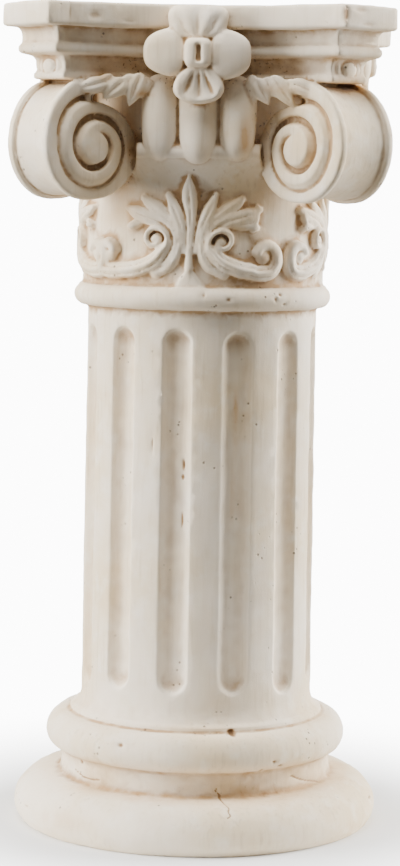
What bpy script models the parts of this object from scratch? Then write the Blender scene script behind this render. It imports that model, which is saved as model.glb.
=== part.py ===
"""Roman column pedestal: one plaster casting with a moulded foot, a fluted shaft, a carved neck,
four corner volutes with eggs between them, and a three-step abacus with a flower on each side.

Metres, +Z up, origin at the middle of the underside. The front of the capital faces -Y.
"""
import math

import bmesh
import bpy
from mathutils import Matrix, Vector

# Heights of the mouldings, from the ground up
LOWER_TORUS_HEIGHT = 0.0416
SCOTIA_HEIGHT = 0.0229
UPPER_TORUS_HEIGHT = 0.0319
FILLET_HEIGHT = 0.0036
APOPHYGE_HEIGHT = 0.0150
SHAFT_HEIGHT = 0.3410
ASTRAGAL_HEIGHT = 0.0197
NECK_HEIGHT = 0.0803
BELL_HEIGHT = 0.0320
ECHINUS_HEIGHT = 0.0597
LOWER_TIER_HEIGHT = 0.0203
MIDDLE_TIER_HEIGHT = 0.0214
SLAB_HEIGHT = 0.0206

# Radii of the mouldings
FOOT_RADIUS = 0.1570
LOWER_TORUS_RADIUS = 0.1614
LOWER_TORUS_TOP_RADIUS = 0.1300
SCOTIA_RADIUS = 0.1200
UPPER_TORUS_RADIUS = 0.1330
UPPER_TORUS_TOP_RADIUS = 0.1165
FILLET_RADIUS = 0.1120
SHAFT_FOOT_RADIUS = 0.1022
SHAFT_TOP_RADIUS = 0.1004
ASTRAGAL_RADIUS = 0.1127
NECK_RADIUS = 0.1035
BELL_RADIUS = 0.1240
BELL_EDGE = 0.0005
ECHINUS_RADIUS = 0.1010

# Heights of the two equators above the foot of their own torus
LOWER_TORUS_EQUATOR = 0.0145
UPPER_TORUS_EQUATOR = 0.0133

# Where the foot rounds in, as shares of its set-in and of the lower torus's equator
FOOT_ROUND_IN = 0.25
FOOT_ROUND_UP = 0.42

# Flutes
FLUTE_COUNT = 12
FLUTE_WIDTH = 0.0255
FLUTE_DEPTH = 0.0070
FLUTE_FOOT_GAP = 0.0100
FLUTE_HEAD_GAP = 0.0160
FLUTE_TURN = -9.0

# Abacus, measured at the slab
ABACUS_HALF_WIDTH = 0.1640
ABACUS_CORNER = 0.1210
ABACUS_HOLLOW = 0.0400
ABACUS_STEP = 0.0126

# Volutes, in the upright plane through the axis and a corner
VOLUTE_EYE_REACH = 0.1475
VOLUTE_EYE_DROP = 0.0562
VOLUTE_EYE_RADIUS = 0.0150
VOLUTE_RIM_RADIUS = 0.0490
VOLUTE_FLARE = 0.0050
VOLUTE_TURNS = 2.0
VOLUTE_THICKNESS = 0.0560
VOLUTE_RIM_WIDTH = 0.0085
VOLUTE_CHANNEL_DEPTH = 0.0035
VOLUTE_GROOVE_DEPTH = 0.0065
VOLUTE_BEVEL_SHARE = 0.78
VOLUTE_RISE = 0.0035
VOLUTE_BUTTON_RISE = 0.0020
VOLUTE_BUTTON_SHARE = 0.8
VOLUTE_BUTTON_EDGE_SHARE = 0.6

# Eggs between the volutes
EGG_ANGLE = 16.0
EGG_WIDTH = 0.0320
EGG_HEIGHT = 0.0540
EGG_DEPTH = 0.0360
EGG_REACH = 0.1310
EGG_DROP = 0.0390

# Flowers on the sides of the abacus
FLOWER_DROP = 0.0420
FLOWER_REACH = 0.1360
FLOWER_HALF_WIDTH = 0.0420
FLOWER_HALF_HEIGHT = 0.0400
PETAL_TALL_LENGTH = 0.0300
PETAL_TALL_WIDTH = 0.0500
PETAL_SIDE_LENGTH = 0.0310
PETAL_SIDE_WIDTH = 0.0430
PETAL_DEPTH = 0.0190
PETAL_CUP = 0.0045
FLOWER_BOSS_RADIUS = 0.0115
FLOWER_BOSS_RISE = 0.0125
FLOWER_BACK_RADIUS = 0.0260
FLOWER_BACK_TAPER = 0.8

# Scrolls and palmettes of the neck: places along the neck from the palmette's middle, and heights
# above the astragal
NECK_TURN = -3.3
PALMETTES = 4
CURL_PLACE = 0.0275
CURL_LIFT = 0.0400
CURL_RADIUS = 0.0150
CURL_CORE = 0.0045
BAND_LIFT = 0.0120
BAND_RADIUS = 0.0068
BUD_PLACE = 0.0655
BUD_LIFT = 0.0275
BUD_CORE = 0.0040
SCROLL_TIP_RADIUS = 0.0036
RELIEF_HEIGHT = 0.0075
BAND_SINK = 0.0015
THIN_BAND_SHARE = 0.35
LOW_BAND_PLACE = 0.35

# Small leaves between the volutes and the flowers
SPRIG_PLACES = (0.0560, 0.0840)
SPRIG_REACHES = (0.1200, 0.1280)
SPRIG_DROP = 0.0065
SPRIG_LENGTH = 0.0400
SPRIG_WIDTH = 0.0180

# How finely the round shapes are drawn
BODY_STEPS = 32
ARC_STEPS = 3
VOLUTE_STEPS = 12
ABACUS_STEPS = 5
FLAT_ANGLE = 3.0
OVERLAP = 0.0040
WELD = 0.00002

# Levels that follow from the heights
Z_SCOTIA = LOWER_TORUS_HEIGHT
Z_UPPER_TORUS = Z_SCOTIA + SCOTIA_HEIGHT
Z_FILLET = Z_UPPER_TORUS + UPPER_TORUS_HEIGHT
Z_APOPHYGE = Z_FILLET + FILLET_HEIGHT
Z_SHAFT = Z_APOPHYGE + APOPHYGE_HEIGHT
Z_ASTRAGAL = Z_SHAFT + SHAFT_HEIGHT
Z_NECK = Z_ASTRAGAL + ASTRAGAL_HEIGHT
Z_BELL = Z_NECK + NECK_HEIGHT
Z_ECHINUS = Z_BELL + BELL_HEIGHT
Z_ABACUS = Z_ECHINUS + ECHINUS_HEIGHT
Z_MIDDLE_TIER = Z_ABACUS + LOWER_TIER_HEIGHT
Z_SLAB = Z_MIDDLE_TIER + MIDDLE_TIER_HEIGHT
HEIGHT = Z_SLAB + SLAB_HEIGHT

# Plaster
PLASTER_COLOUR = (0.76, 0.70, 0.62, 1.0)
PLASTER_ROUGHNESS = 0.85


def clear_scene():
    for item in list(bpy.data.objects):
        bpy.data.objects.remove(item, do_unlink=True)


def new_collection(name):
    collection = bpy.data.collections.new(name)
    bpy.context.scene.collection.children.link(collection)
    return collection


def plaster():
    material = bpy.data.materials.new("plaster")
    material.use_nodes = True
    shader = material.node_tree.nodes["Principled BSDF"]
    shader.inputs["Base Color"].default_value = PLASTER_COLOUR
    shader.inputs["Roughness"].default_value = PLASTER_ROUGHNESS
    shader.inputs["Metallic"].default_value = 0.0
    return material


def add_object(name, mesh, collection, matrix=None):
    item = bpy.data.objects.new(name, mesh)
    collection.objects.link(item)
    if matrix is not None:
        item.matrix_world = matrix
    return item


def add_shape(name, mesh, collection, matrix):
    """Add a shape that is joined to the body or cut from it, and isn't shown itself."""
    item = add_object(name, mesh, collection, matrix)
    item.hide_render = True
    item.display_type = "WIRE"


def arc(centre_r, centre_z, radius_r, radius_z, start, end, steps=ARC_STEPS):
    """Points (r, z) on an ellipse from one angle to another, in degrees."""
    points = []
    for step in range(steps + 1):
        angle = math.radians(start + (end - start) * step / steps)
        points.append((centre_r + radius_r * math.cos(angle), centre_z + radius_z * math.sin(angle)))
    return points


def curve_to_mesh(name, curve_object):
    """The evaluated curve as a mesh with welded caps; the curve itself is removed."""
    graph = bpy.context.evaluated_depsgraph_get()
    mesh = bpy.data.meshes.new_from_object(curve_object.evaluated_get(graph))
    mesh.name = name
    curve = curve_object.data
    bpy.data.objects.remove(curve_object, do_unlink=True)
    bpy.data.curves.remove(curve)
    work = bmesh.new()
    work.from_mesh(mesh)
    bmesh.ops.remove_doubles(work, verts=work.verts, dist=WELD)
    bmesh.ops.recalc_face_normals(work, faces=work.faces)
    work.to_mesh(mesh)
    work.free()
    return mesh


def plate_mesh(name, outline, thickness):
    """A flat outline in X and Y, extruded evenly to both sides of Z = 0."""
    curve = bpy.data.curves.new(name, "CURVE")
    curve.dimensions = "2D"
    curve.fill_mode = "BOTH"
    curve.extrude = thickness / 2
    spline = curve.splines.new("POLY")
    spline.points.add(len(outline) - 1)
    for place, point in zip(spline.points, outline):
        place.co = (point[0], point[1], 0.0, 1.0)
    spline.use_cyclic_u = True
    item = add_object(name, curve, bpy.context.scene.collection)
    bpy.context.view_layer.update()
    return curve_to_mesh(name, item)


def ball_mesh(name, size, across, rings, cup=0.0):
    """An ellipsoid with its poles on Y; cup presses its front (-Y) face into a shallow dish."""
    work = bmesh.new()
    bmesh.ops.create_uvsphere(work, u_segments=across, v_segments=rings, radius=0.5)
    bmesh.ops.rotate(work, verts=work.verts, matrix=Matrix.Rotation(math.pi / 2, 3, "X"))
    for vertex in work.verts:
        spread = math.hypot(vertex.co.x, vertex.co.z) / 0.5
        vertex.co = Vector((vertex.co.x * size[0], vertex.co.y * size[1], vertex.co.z * size[2]))
        if vertex.co.y < 0.0:
            vertex.co.y += cup * (1.0 - spread) * 2.0
    mesh = bpy.data.meshes.new(name)
    work.to_mesh(mesh)
    work.free()
    return mesh


def cone_mesh(name, base_radius, top_radius, height, sides):
    """A truncated cone from Z = 0 upwards."""
    work = bmesh.new()
    bmesh.ops.create_cone(work, cap_ends=True, segments=sides, radius1=base_radius,
                          radius2=top_radius, depth=height)
    bmesh.ops.translate(work, verts=work.verts, vec=(0.0, 0.0, height / 2))
    mesh = bpy.data.meshes.new(name)
    work.to_mesh(mesh)
    work.free()
    return mesh


def bell_radius(z):
    """The neck's background, which flares into the bell above it."""
    rise = min(max((z - Z_BELL) / BELL_HEIGHT, 0.0), 1.0)
    return NECK_RADIUS + (BELL_RADIUS - NECK_RADIUS) * (1.0 - math.cos(rise * math.pi / 2))


def body_profile():
    """The turned outline (r, z), from the top down to the ground."""
    points = [(0.0, Z_ABACUS + OVERLAP), (ECHINUS_RADIUS, Z_ABACUS + OVERLAP)]
    points.append((ECHINUS_RADIUS, Z_ECHINUS))
    for step in range(ARC_STEPS + 1):
        z = Z_ECHINUS - BELL_HEIGHT * step / ARC_STEPS
        points.append((bell_radius(z), z - (BELL_EDGE if step == 0 else 0.0)))
    half = ASTRAGAL_HEIGHT / 2
    points += arc(ASTRAGAL_RADIUS - half, Z_ASTRAGAL + half, half, half, 90, -90, 4)
    points.insert(len(points) - 5, (NECK_RADIUS, Z_NECK))
    points.append((SHAFT_TOP_RADIUS, Z_ASTRAGAL))
    flare = FILLET_RADIUS - SHAFT_FOOT_RADIUS
    points += arc(SHAFT_FOOT_RADIUS + flare, Z_SHAFT, flare, APOPHYGE_HEIGHT, 180, 270, 2)
    points.append((FILLET_RADIUS, Z_FILLET))
    middle = Z_UPPER_TORUS + UPPER_TORUS_EQUATOR
    bulge = UPPER_TORUS_RADIUS - UPPER_TORUS_TOP_RADIUS
    points += arc(UPPER_TORUS_TOP_RADIUS, middle, bulge, Z_FILLET - middle, 90, 0)
    bulge = UPPER_TORUS_RADIUS - SCOTIA_RADIUS
    points += arc(SCOTIA_RADIUS, middle, bulge, UPPER_TORUS_EQUATOR, 0, -90, 2)[1:]
    points.append((SCOTIA_RADIUS, Z_SCOTIA))
    bulge = LOWER_TORUS_RADIUS - LOWER_TORUS_TOP_RADIUS
    points += arc(LOWER_TORUS_TOP_RADIUS, LOWER_TORUS_EQUATOR, bulge,
                  Z_SCOTIA - LOWER_TORUS_EQUATOR, 90, 0, 4)
    turned_in = LOWER_TORUS_RADIUS - FOOT_RADIUS
    points.append((LOWER_TORUS_RADIUS - turned_in * FOOT_ROUND_IN,
                   LOWER_TORUS_EQUATOR * FOOT_ROUND_UP))
    points += [(FOOT_RADIUS, 0.0), (0.0, 0.0)]
    return points


def turned_body(collection):
    """The foot, shaft, neck and bell, turned about the axis."""
    mesh = bpy.data.meshes.new("column_pedestal")
    points = body_profile()
    edges = [(index, index + 1) for index in range(len(points) - 1)]
    mesh.from_pydata([(r, 0.0, z) for r, z in points], edges, [])
    body = add_object("column_pedestal", mesh, collection)
    screw = body.modifiers.new("turn", "SCREW")
    screw.steps = BODY_STEPS
    screw.render_steps = BODY_STEPS
    screw.use_merge_vertices = True
    screw.merge_threshold = WELD
    return body


def facing(degrees):
    """The turn that brings a shape made on the front (-Y) round to another side."""
    return Matrix.Rotation(math.radians(degrees), 4, "Z")


def add_flutes(collection):
    """Upright hollows with round ends, spaced evenly round the shaft."""
    half_width = FLUTE_WIDTH / 2
    foot = Z_SHAFT + FLUTE_FOOT_GAP
    head = Z_ASTRAGAL - FLUTE_HEAD_GAP
    straight = (head - foot) / 2 - half_width
    work = bmesh.new()
    bmesh.ops.create_uvsphere(work, u_segments=8, v_segments=4, radius=half_width)
    middle = [edge for edge in work.edges
              if all(abs(vertex.co.z) < WELD for vertex in edge.verts)]
    bmesh.ops.split_edges(work, edges=middle)
    upper = {vertex for face in work.faces if face.calc_center_median().z > 0.0
             for vertex in face.verts}
    for vertex in work.verts:
        vertex.co.z += straight if vertex in upper else -straight
        vertex.co.y *= FLUTE_DEPTH / half_width
    rims = [edge for edge in work.edges if edge.is_boundary]
    bmesh.ops.bridge_loops(work, edges=rims)
    bmesh.ops.recalc_face_normals(work, faces=work.faces)
    mesh = bpy.data.meshes.new("flute")
    work.to_mesh(mesh)
    work.free()
    lean = math.atan2(SHAFT_FOOT_RADIUS - SHAFT_TOP_RADIUS, SHAFT_HEIGHT)
    radius = (SHAFT_FOOT_RADIUS + SHAFT_TOP_RADIUS) / 2
    stand = Matrix.Translation((0.0, -radius, (foot + head) / 2)) @ Matrix.Rotation(-lean, 4, "X")
    for index in range(FLUTE_COUNT):
        turn = facing(FLUTE_TURN + 360.0 * index / FLUTE_COUNT)
        add_shape(f"flute_{index:02d}", mesh, collection, turn @ stand)


def abacus_outline(inset):
    """Four hollow sides between cut corners, set in evenly from the slab's edge."""
    reach = ABACUS_HALF_WIDTH - inset
    corner = ABACUS_CORNER - inset * math.tan(math.radians(22.5))
    points = []
    for side in range(4):
        turn = Matrix.Rotation(side * math.pi / 2, 2)
        for step in range(ABACUS_STEPS + 1):
            along = -1.0 + 2.0 * step / ABACUS_STEPS
            point = Vector((along * corner, -reach + ABACUS_HOLLOW * (1.0 - along * along)))
            points.append(turn @ point)
    return points


def add_abacus(collection):
    """Three steps, each with the slab's outline set in by one more step."""
    levels = (("lower_tier", Z_ABACUS, Z_MIDDLE_TIER + OVERLAP, 2),
              ("middle_tier", Z_MIDDLE_TIER, Z_SLAB + OVERLAP, 1),
              ("slab", Z_SLAB, HEIGHT, 0))
    for name, bottom, top, steps in levels:
        mesh = plate_mesh(name, abacus_outline(ABACUS_STEP * steps), top - bottom)
        lift = Matrix.Translation((0.0, 0.0, (bottom + top) / 2))
        add_shape(name, mesh, collection, lift)


def spiral_radius(turn):
    """Distance from the eye to the volute's edge, which narrows evenly and flares outwards."""
    radius = VOLUTE_RIM_RADIUS - (VOLUTE_RIM_RADIUS - VOLUTE_EYE_RADIUS) * turn / VOLUTE_TURNS
    if turn < 0.25:
        radius += VOLUTE_FLARE * min(1.0 - 4.0 * turn, 1.0) ** 2
    return radius


def volute_mesh():
    """One volute, lofted along its spiral: X outwards, Y up and Z across, the eye at the origin.

    The band starts inside the abacus, straight above the eye. It runs outwards, down and round,
    and each later turn stands a little higher on both faces. Only its first turn has an edge.
    """
    per_turn = VOLUTE_STEPS
    half = VOLUTE_THICKNESS / 2
    button = VOLUTE_EYE_RADIUS * VOLUTE_BUTTON_SHARE
    count = round((VOLUTE_TURNS + 0.25) * per_turn) + 1
    work = bmesh.new()

    def at(step, radius, across):
        angle = math.pi / 2 - 2.0 * math.pi * step / per_turn
        return work.verts.new((radius * math.cos(angle), radius * math.sin(angle), across))

    sides = []
    for side in (1, -1):
        crests, grooves, eye = [], [], []
        for step in range(count):
            turn = step / per_turn - 0.25
            rise = VOLUTE_RISE * max(turn - 0.5, 0.0) / (VOLUTE_TURNS - 0.5)
            crest = spiral_radius(turn)
            inner = max(spiral_radius(turn + 1.0), button)
            groove = crest + (inner - crest) * VOLUTE_BEVEL_SHARE
            crests.append(at(step, crest, side * (half + rise)))
            grooves.append(at(step, groove, side * (half + rise - VOLUTE_GROOVE_DEPTH)))
        for step in range(per_turn):
            eye.append(at(step, button, side * (half + VOLUTE_RISE * VOLUTE_BUTTON_EDGE_SHARE)))
        middle = work.verts.new((0.0, 0.0, side * (half + VOLUTE_RISE + VOLUTE_BUTTON_RISE)))
        sides.append((crests, grooves, eye, middle))

    def face(corners, side):
        work.faces.new(corners if side == 1 else corners[::-1])

    for side, (crests, grooves, eye, middle) in zip((1, -1), sides):
        for step in range(count - 1):
            after = step + 1
            face((crests[after], crests[step], grooves[step], grooves[after]), side)
            if after + per_turn < count:
                inner, inner_after = crests[step + per_turn], crests[after + per_turn]
            else:
                inner, inner_after = eye[step % per_turn], eye[after % per_turn]
            face((grooves[after], grooves[step], inner, inner_after), side)
        for step in range(per_turn):
            face((eye[(step + 1) % per_turn], eye[step], middle), side)
        last = count - 1
        face((grooves[last - per_turn], crests[last], grooves[last], eye[last % per_turn]), side)

    edges = []
    for step in range(per_turn + 1):
        radius = spiral_radius(step / per_turn - 0.25)
        row = [sides[0][0][step]]
        row.append(at(step, radius - VOLUTE_CHANNEL_DEPTH, half - VOLUTE_RIM_WIDTH))
        row.append(at(step, radius - VOLUTE_CHANNEL_DEPTH, VOLUTE_RIM_WIDTH - half))
        row.append(sides[1][0][step])
        edges.append(row)
    for row, after in zip(edges, edges[1:]):
        for index in range(len(row) - 1):
            work.faces.new((row[index], after[index], after[index + 1], row[index + 1]))
    front, back = sides[0][1][0], sides[1][1][0]
    work.faces.new([front] + edges[0] + [back] + edges[-1][::-1])
    bmesh.ops.recalc_face_normals(work, faces=work.faces)
    mesh = bpy.data.meshes.new("volute")
    work.to_mesh(mesh)
    work.free()
    return mesh


def add_volutes(collection):
    """Four thick scrolls in the corners, each turned inwards from the abacus."""
    mesh = volute_mesh()
    upright = Matrix.Rotation(math.pi / 2, 4, "X")
    eye = Matrix.Translation((VOLUTE_EYE_REACH, 0.0, Z_ABACUS - VOLUTE_EYE_DROP))
    for corner in range(4):
        add_shape(f"volute_{corner}", mesh, collection, facing(90.0 * corner - 45.0) @ eye @ upright)


def add_eggs(collection):
    """Three eggs on each side of the bell."""
    mesh = ball_mesh("egg", (EGG_WIDTH, EGG_DEPTH, EGG_HEIGHT), 8, 5)
    place = Matrix.Translation((0.0, EGG_DEPTH / 2 - EGG_REACH, Z_ABACUS - EGG_DROP))
    for side in range(4):
        for step in (-1, 0, 1):
            turn = facing(90.0 * side + EGG_ANGLE * step)
            add_shape(f"egg_{side}_{step}", mesh, collection, turn @ place)


def add_flowers(collection):
    """Four cupped petals round a boss, on a short stem from the abacus."""
    tall = ball_mesh("tall_petal", (PETAL_TALL_WIDTH, PETAL_DEPTH, PETAL_TALL_LENGTH), 8, 4,
                     PETAL_CUP)
    wide = ball_mesh("side_petal", (PETAL_SIDE_LENGTH, PETAL_DEPTH, PETAL_SIDE_WIDTH), 8, 4,
                     PETAL_CUP)
    boss = ball_mesh("flower_boss", (2 * FLOWER_BOSS_RADIUS, 2 * FLOWER_BOSS_RISE,
                                     2 * FLOWER_BOSS_RADIUS), 8, 4)
    depth = FLOWER_REACH - (ABACUS_HALF_WIDTH - ABACUS_HOLLOW - 2 * ABACUS_STEP) + OVERLAP
    stem = cone_mesh("flower_stem", FLOWER_BACK_RADIUS, FLOWER_BACK_RADIUS * FLOWER_BACK_TAPER,
                     depth, 8)
    offsets = ((0.0, FLOWER_HALF_HEIGHT - PETAL_TALL_LENGTH / 2, tall),
               (0.0, PETAL_TALL_LENGTH / 2 - FLOWER_HALF_HEIGHT, tall),
               (FLOWER_HALF_WIDTH - PETAL_SIDE_LENGTH / 2, 0.0, wide),
               (PETAL_SIDE_LENGTH / 2 - FLOWER_HALF_WIDTH, 0.0, wide))
    for side in range(4):
        centre = facing(90.0 * side) @ Matrix.Translation((0.0, -FLOWER_REACH, HEIGHT - FLOWER_DROP))
        for index, (across, up, mesh) in enumerate(offsets):
            place = centre @ Matrix.Translation((across, 0.0, up))
            add_shape(f"petal_{side}_{index}", mesh, collection, place)
        add_shape(f"flower_boss_{side}", boss, collection, centre)
        back = centre @ Matrix.Translation((0.0, depth, 0.0)) @ Matrix.Rotation(math.pi / 2, 4, "X")
        add_shape(f"flower_stem_{side}", stem, collection, back)


def add_sprigs(collection):
    """A short leaf of two lobes on each side of every flower, under the lowest step."""
    mesh = ball_mesh("sprig_lobe", (SPRIG_LENGTH, SPRIG_WIDTH, SPRIG_WIDTH), 6, 3)
    for side in range(4):
        for hand in (-1, 1):
            for index, (along, reach) in enumerate(zip(SPRIG_PLACES, SPRIG_REACHES)):
                place = Matrix.Translation((hand * along, -reach, Z_ABACUS - SPRIG_DROP))
                add_shape(f"sprig_{side}_{hand}_{index}", mesh, collection,
                          facing(90.0 * side) @ place)


def on_neck(along, lift, height):
    """A place in the neck's flat drawing, laid round the neck at a height over its background."""
    z = Z_NECK + lift
    radius = bell_radius(z) + height
    angle = along / NECK_RADIUS
    return (radius * math.sin(angle), -radius * math.cos(angle), z)


def ridged_band(name, line, half_widths, height, hand):
    """A band along a line of the drawing, with a ridge down its middle and its root in the neck."""
    work = bmesh.new()
    rows = []
    for index, ((along, lift), half_width) in enumerate(zip(line, half_widths)):
        before = line[max(index - 1, 0)]
        after = line[min(index + 1, len(line) - 1)]
        course = Vector((after[0] - before[0], after[1] - before[1])).normalized()
        side = Vector((-course.y, course.x)) * half_width
        fullness = THIN_BAND_SHARE + half_width / BAND_RADIUS * (1.0 - THIN_BAND_SHARE)
        crest = height * min(1.0, fullness)
        row = [on_neck(hand * (along + side.x), lift + side.y, -BAND_SINK),
               on_neck(hand * along, lift, crest),
               on_neck(hand * (along - side.x), lift - side.y, -BAND_SINK),
               on_neck(hand * along, lift, -2 * BAND_SINK)]
        rows.append([work.verts.new(place) for place in row])
    for row, after in zip(rows, rows[1:]):
        for index in range(4):
            work.faces.new((row[index], row[index - 1], after[index - 1], after[index]))
    work.faces.new(rows[0])
    work.faces.new(rows[-1][::-1])
    bmesh.ops.recalc_face_normals(work, faces=work.faces)
    mesh = bpy.data.meshes.new(name)
    work.to_mesh(mesh)
    work.free()
    return mesh


def curl(centre, start, end, first_radius, last_radius, steps):
    """A flat spiral about a centre, angles in degrees."""
    points = []
    for step in range(steps + 1):
        share = step / steps
        angle = math.radians(start + (end - start) * share)
        radius = first_radius + (last_radius - first_radius) * share
        points.append((centre[0] + radius * math.cos(angle), centre[1] + radius * math.sin(angle)))
    return points


def scroll_drawing():
    """The line of one scroll: a curl by the palmette, a low band, and a curled bud."""
    points = curl((CURL_PLACE, CURL_LIFT), -90, 180, CURL_CORE, CURL_RADIUS, 4)
    foot = (CURL_PLACE + LOW_BAND_PLACE * (BUD_PLACE - CURL_PLACE), CURL_LIFT)
    points += curl(foot, 195, 262, foot[0] - CURL_PLACE + CURL_RADIUS, CURL_LIFT - BAND_LIFT, 2)
    points += curl((BUD_PLACE, BUD_LIFT), -85, 170, BUD_LIFT - BAND_LIFT, BUD_CORE, 4)
    return points


def add_neck_carving(collection):
    """Four palmettes, each between two scrolls, round the neck."""
    line = scroll_drawing()
    count = len(line)
    widths = []
    for index in range(count):
        share = math.sin(math.pi * (index + 0.5) / count)
        widths.append(SCROLL_TIP_RADIUS + (BAND_RADIUS - SCROLL_TIP_RADIUS) * share)
    meshes = [ridged_band("scroll", line, widths, RELIEF_HEIGHT, hand) for hand in (-1, 1)]
    # Leaves of the palmette: root, middle and tip in the flat drawing, and the widest half-width
    leaves = (((0.000, 0.006), (0.000, 0.050), (0.000, 0.093), 0.0064, (1,)),
              ((0.005, 0.036), (0.012, 0.060), (0.020, 0.080), 0.0054, (-1, 1)),
              ((0.008, 0.034), (0.021, 0.058), (0.043, 0.077), 0.0064, (-1, 1)),
              ((0.014, 0.044), (0.036, 0.055), (0.060, 0.068), 0.0068, (-1, 1)))
    shares = (0.5, 1.0, 0.25)
    for root, middle, tip, width, hands in leaves:
        flat = []
        for share in (0.0, 0.6, 1.0):
            flat.append([a + (c - a) * share + (b - (a + c) / 2) * 4 * share * (1 - share)
                         for a, b, c in zip(root, middle, tip)])
        for hand in hands:
            meshes.append(ridged_band("palmette_leaf", flat, [width * part for part in shares],
                                      RELIEF_HEIGHT, hand))
    for side in range(PALMETTES):
        turn = facing(NECK_TURN + 360.0 * side / PALMETTES)
        for index, mesh in enumerate(meshes):
            add_shape(f"carving_{side}_{index}", mesh, collection, turn)


def combine(body, collection, operation, solver):
    """Join a collection of shapes to the body, or cut it away."""
    step = body.modifiers.new(collection.name, "BOOLEAN")
    step.operation = operation
    step.operand_type = "COLLECTION"
    step.collection = collection
    step.solver = solver


def build():
    clear_scene()
    material = plaster()
    pedestal = new_collection("roman_column_pedestal")
    body = turned_body(pedestal)
    # The exact solver leaves open edges on the lofted carving, so that is joined by the other one
    groups = (("flutes", add_flutes, "DIFFERENCE", "EXACT"),
              ("abacus", add_abacus, "UNION", "EXACT"),
              ("volutes", add_volutes, "UNION", "MANIFOLD"),
              ("eggs", add_eggs, "UNION", "MANIFOLD"),
              ("flowers", add_flowers, "UNION", "MANIFOLD"),
              ("sprigs", add_sprigs, "UNION", "MANIFOLD"),
              ("neck_carving", add_neck_carving, "UNION", "MANIFOLD"))
    for name, fill, operation, solver in groups:
        collection = new_collection(name)
        fill(collection)
        combine(body, collection, operation, solver)
    flatten = body.modifiers.new("flatten", "DECIMATE")
    flatten.decimate_type = "DISSOLVE"
    flatten.angle_limit = math.radians(FLAT_ANGLE)
    body.data.materials.append(material)
    body.data.shade_smooth()


build()
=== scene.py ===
import math

import bmesh
import bpy
import numpy as np
from mathutils import Matrix, Vector, noise
from mathutils.bvhtree import BVHTree
from mathutils.kdtree import KDTree


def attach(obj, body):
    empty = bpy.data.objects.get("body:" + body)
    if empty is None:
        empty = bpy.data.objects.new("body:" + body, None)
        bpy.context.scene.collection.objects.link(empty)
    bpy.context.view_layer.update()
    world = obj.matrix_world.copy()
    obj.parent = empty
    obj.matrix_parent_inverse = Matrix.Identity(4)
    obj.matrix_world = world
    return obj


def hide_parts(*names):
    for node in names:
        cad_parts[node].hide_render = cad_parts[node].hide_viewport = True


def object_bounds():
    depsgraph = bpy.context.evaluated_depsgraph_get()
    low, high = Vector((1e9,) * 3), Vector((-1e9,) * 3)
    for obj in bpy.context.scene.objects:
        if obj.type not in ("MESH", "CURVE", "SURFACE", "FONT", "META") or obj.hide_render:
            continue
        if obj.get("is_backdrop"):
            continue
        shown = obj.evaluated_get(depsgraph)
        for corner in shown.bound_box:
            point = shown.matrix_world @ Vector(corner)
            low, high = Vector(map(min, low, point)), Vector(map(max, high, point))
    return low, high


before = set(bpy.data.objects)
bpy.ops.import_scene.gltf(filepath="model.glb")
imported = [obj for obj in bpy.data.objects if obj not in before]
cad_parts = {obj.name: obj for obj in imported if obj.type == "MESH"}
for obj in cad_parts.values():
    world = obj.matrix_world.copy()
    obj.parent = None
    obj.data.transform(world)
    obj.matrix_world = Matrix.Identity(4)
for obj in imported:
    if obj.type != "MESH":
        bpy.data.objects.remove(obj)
cad_low, cad_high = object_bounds()

# The pedestal is a single plaster casting. Its foot, shaft and neck were turned in the model that
# the mould was taken from, with twelve round-ended flutes cut in the shaft.
MM = 0.001
CORE_COLUMNS = 720
lower_torus = {"radius": 161.0, "equator": 14.5, "top": 41.6, "top_radius": 130.0, "foot_radius": 156.0}
scotia = {"radius": 120.0, "hollow": 1.0, "top": 64.5}
upper_torus = {"radius": 132.8, "equator": 77.8, "top": 96.4, "top_radius": 116.0}
fillet = {"radius": 111.8, "top": 100.2}
shaft = {"foot": 115.0, "foot_radius": 102.2, "top": 456.0, "top_radius": 100.4}
astragal = {"radius": 112.5, "top": 475.7}
neck = {"radius": 103.4, "top": 556.0}
bell = {"radius": 122.5, "top": 588.0, "roll_radius": 124.5, "roll_half": 7.0}
echinus = {"radius": 100.5, "top": 652.0}
flute = {"count": 12, "width": 26.0, "depth": 7.6, "turn": -9.0, "foot": 125.5, "head": 439.5}


def quarter(centre, radii, start, end, steps=12):
    """Points of an elliptic arc in radius and height, angles in degrees."""
    turns = np.radians(np.linspace(start, end, steps + 1))
    return [(centre[0] + radii[0] * math.cos(a), centre[1] + radii[1] * math.sin(a)) for a in turns]


def evenly(points, step):
    """The same line with a point about every step."""
    points = np.array(points, dtype=float)
    runs = np.hypot(*np.diff(points, axis=0).T)
    lengths = np.concatenate([[0.0], np.cumsum(runs)])
    places = np.linspace(0.0, lengths[-1], int(lengths[-1] / step) + 1)
    return np.column_stack([np.interp(places, lengths, points[:, 0]),
                            np.interp(places, lengths, points[:, 1])])


def grid(name, columns, rows):
    """A flat sheet of quads, with the share along it and across it of every vertex."""
    sheet = bmesh.new()
    bmesh.ops.create_grid(sheet, x_segments=columns, y_segments=rows, size=0.5)
    mesh = bpy.data.meshes.new(name)
    sheet.to_mesh(mesh)
    sheet.free()
    flat = np.empty(len(mesh.vertices) * 3)
    mesh.vertices.foreach_get("co", flat)
    flat = flat.reshape(-1, 3)
    along = np.rint((flat[:, 0] + 0.5) * columns).astype(int)
    across = np.rint((flat[:, 1] + 0.5) * rows).astype(int)
    return mesh, along, across


def shape(mesh, places, weld=0.00001):
    """Move the sheet's vertices to their places, in millimetres, and close its seams."""
    mesh.vertices.foreach_set("co", (np.asarray(places) * MM).ravel())
    work = bmesh.new()
    work.from_mesh(mesh)
    bmesh.ops.remove_doubles(work, verts=work.verts, dist=weld)
    bmesh.ops.dissolve_degenerate(work, edges=work.edges, dist=weld)
    bmesh.ops.recalc_face_normals(work, faces=work.faces)
    work.to_mesh(mesh)
    work.free()
    return mesh


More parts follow.
